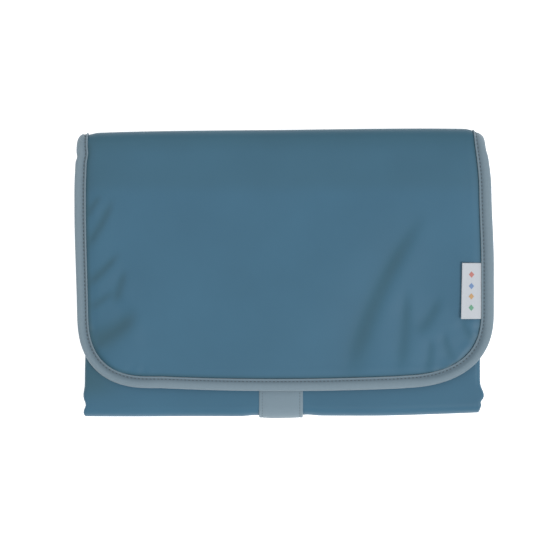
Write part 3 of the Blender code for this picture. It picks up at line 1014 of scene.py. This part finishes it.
def patch(name, low, high, settle, facing):
    """A fastener patch: a slightly domed pad with a flat sewn border."""
    near_edge = np.array([0.0, 0.03, 0.09, 0.12, 0.2, 0.35])
    share = np.concatenate([near_edge, [0.5], 1 - near_edge[::-1]])
    x, y = np.meshgrid(low.x + (high.x - low.x) * share, low.y + (high.y - low.y) * share)
    rim = np.minimum(np.minimum(x - low.x, high.x - x), np.minimum(y - low.y, high.y - y))
    thick = high.z - low.z
    height = thick * (0.55 + 0.45 * ease(rim, 2.2 * MM, 3.6 * MM)) * ease(rim, -0.4 * MM, 0.8 * MM)
    top = np.where(facing > 0, low.z + height, high.z - height)
    x, y, z = settle(x, y, top)
    piece = surface(name, x, y, z, flip=facing < 0)
    return thicken(piece, 0.4 * MM)


BORDER_IN = 1.4 * MM
BORDER_UP = 0.45 * MM


def border(low, high, level):
    """The closed line of sewing just inside a patch's edge."""
    left, right = low.x + BORDER_IN, high.x - BORDER_IN
    near, far = low.y + BORDER_IN, high.y - BORDER_IN
    corners = [(left, near), (right, near), (right, far), (left, far), (left, near)]
    return sewing_path(corners, level, 16)


loop_pad = patch("loop_pad", loop_low, loop_high, stay, 1)
dress(loop_pad, loop_tape, "loop_tape", "loop_patch")
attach(loop_pad, "front")
loop_border = border(loop_low, loop_high, loop_low.z + BORDER_UP)
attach(seam("loop_pad_stitches", loop_border, facing_way(loop_border, 1), FINE_STITCH,
             petrol_thread, "loop_tape"), "front")

hook_pad = patch("hook_pad", hook_low, hook_high, settle_flap, -1)
dress(hook_pad, hook_tape, "hook_tape", "hook_patch")
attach(hook_pad, "flap")
hook_border = border(hook_low, hook_high, hook_high.z - BORDER_UP)
hook_line = settled_line(hook_border, settle_flap)
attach(seam("hook_pad_stitches", hook_line, facing_way(hook_line, -1), FINE_STITCH,
             petrol_thread, "hook_tape"), "flap")


# -------------------- laps at the top fold

def lap_seam(name, z, facing):
    """The stitches that hold a lap of the flap's fabric on the front panel."""
    x = spaced(PANEL_LEFT + 6 * MM, PANEL_RIGHT - 6 * MM, 4 * MM)
    place = np.stack([x, np.full(len(x), TOP_Y - LAP + 2.0 * MM), np.full(len(x), z)], axis=-1)
    line = settled_line(place, settle_flap)
    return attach(seam(name, line, facing_way(line, facing), LAP_STITCH, petrol_thread,
                        "shell_fabric"), "front")


lap_seam("cover_lap_stitches", FRONT_UNDER_Z - 0.4 * MM, -1.0)
lap_seam("lining_lap_stitches", FRONT_TOP_Z + 0.8 * MM, 1.0)


# -------------------- side label

def label_surface():
    """A woven ribbon, sewn in under the tape, its free edge lifted a little off the cover."""
    x, y = np.meshgrid(spaced(label_low.x, label_high.x + 1.5 * MM, 0.8 * MM),
                       spaced(label_low.y, label_high.y, 0.8 * MM))
    out = np.clip((label_high.x - x) / (label_high.x - label_low.x), 0.0, 1.0)
    share = (y - label_high.y) / (label_high.y - label_low.y)
    near = inner_half_width(y, 1, TUCK_IN) - x
    level = FLAP_TOP_Z - pressed_by_tape(near) + cover_relief(x, y) * ease(near, 3 * MM, 12 * MM)
    new_x, new_y, new_z = settle_flap(x, y, level)
    lift = 0.55 * MM + 1.9 * MM * out ** 1.3 + 0.35 * MM * np.sin(y / (9 * MM)) * out
    return new_x + 0.9 * MM * share * out, new_y, new_z + lift


label_x, label_y, label_z = label_surface()
label = surface("side_label_ribbon", label_x, label_y, label_z)
thicken(label, 0.35 * MM)
dress(label, label_ribbon, "label_ribbon", "side_label")
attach(label, "flap")

MOTIF_COLOURS = ((0.11, 0.29, 0.19), (0.44, 0.27, 0.12), (0.13, 0.22, 0.40), (0.42, 0.16, 0.14))


def motif(index, share, colour):
    """One small woven diamond on the label, raised by a thread's thickness."""
    rows, columns = label_z.shape
    row, column = round(share * (rows - 1)), round(0.45 * (columns - 1))
    centre = np.array([label_x[row, column], label_y[row, column], label_z[row, column]])
    wide, tall, up = 2.0 * MM, 2.4 * MM, 0.14 * MM
    ring = [(-wide, 0.0), (0.0, -tall), (wide, 0.0), (0.0, tall)]
    slope = (label_z[row, column + 2] - label_z[row, column - 2]) / (
        label_x[row, column + 2] - label_x[row, column - 2])
    points = [centre + np.array([dx, dy, dx * slope + up]) for dx, dy in ring]
    points += [centre + np.array([dx * 0.45, dy * 0.45, dx * 0.45 * slope + up * 1.5])
               for dx, dy in ring]
    points += [centre + np.array([dx, dy, dx * slope - up]) for dx, dy in ring]
    faces = [(4, 5, 6, 7), (11, 10, 9, 8)]
    for i in range(4):
        j = (i + 1) % 4
        faces.append((i, j, 4 + j, 4 + i))
        faces.append((8 + i, 8 + j, j, i))
    piece = mesh_piece(f"label_motif_{index}", points, faces, smooth=False)
    material = thread_material(f"motif_thread_{index}", colour)
    dress(piece, material, "label_ribbon")
    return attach(piece, "flap")


for number, motif_colour in enumerate(MOTIF_COLOURS):
    motif(number + 1, 0.2 + 0.2 * number, motif_colour)


# -------------------- stage, light and camera

def flat_square(name, size, level):
    """A square in the plane z = level."""
    half = size / 2
    return mesh_piece(name, [(-half, -half, level), (half, -half, level), (half, half, level),
                             (-half, half, level)], [(0, 1, 2, 3)], smooth=False)


WHITE = (1.0, 1.0, 1.0, 1.0)
FLOOR_SIZE = 12.0
FLOOR_LEVEL = -0.4 * MM       # just clear of the lowest cloth

floor = flat_square("floor", FLOOR_SIZE, FLOOR_LEVEL)
floor_material, _, floor_shader = node_material("pale_floor")
set_inputs(floor_shader, Base_Color=(0.93, 0.93, 0.93, 1.0), Roughness=0.9,
           Specular_IOR_Level=0.1, Emission_Color=WHITE, Emission_Strength=0.65)
floor.data.materials.append(floor_material)


def area_light(name, place, size, power):
    """A square soft light at a place, turned to the middle of the floor."""
    data = bpy.data.lights.new(name, 'AREA')
    data.shape = 'SQUARE'
    data.size = size
    data.energy = power
    lamp = bpy.data.objects.new(name, data)
    lamp.location = place
    bpy.context.scene.collection.objects.link(lamp)
    lamp.rotation_mode = 'QUATERNION'
    lamp.rotation_quaternion = lamp.location.to_track_quat('Z', 'Y')


area_light("key_light", (2.5, -1.8, 4.0), 2.0, 140.0)
area_light("fill_light", (-1.0, 0.5, 1.7), 1.6, 6.0)

world = bpy.data.worlds.new("soft_studio")
bpy.context.scene.world = world
world.use_nodes = True
set_inputs(world.node_tree.nodes["Background"], Color=WHITE, Strength=0.70)
bpy.context.scene.view_settings.view_transform = 'Standard'

camera_data = bpy.data.cameras.new("camera")
camera_data.lens = 120.0
camera_data.sensor_width = 36.0
camera_data.clip_end = 20.0
camera_data.dof.use_dof = False
camera = bpy.data.objects.new("camera", camera_data)
camera.location = (-3.3 * MM, -5.5 * MM, 1.4 + FLAP_TOP_Z)
bpy.context.scene.collection.objects.link(camera)
bpy.context.scene.camera = camera
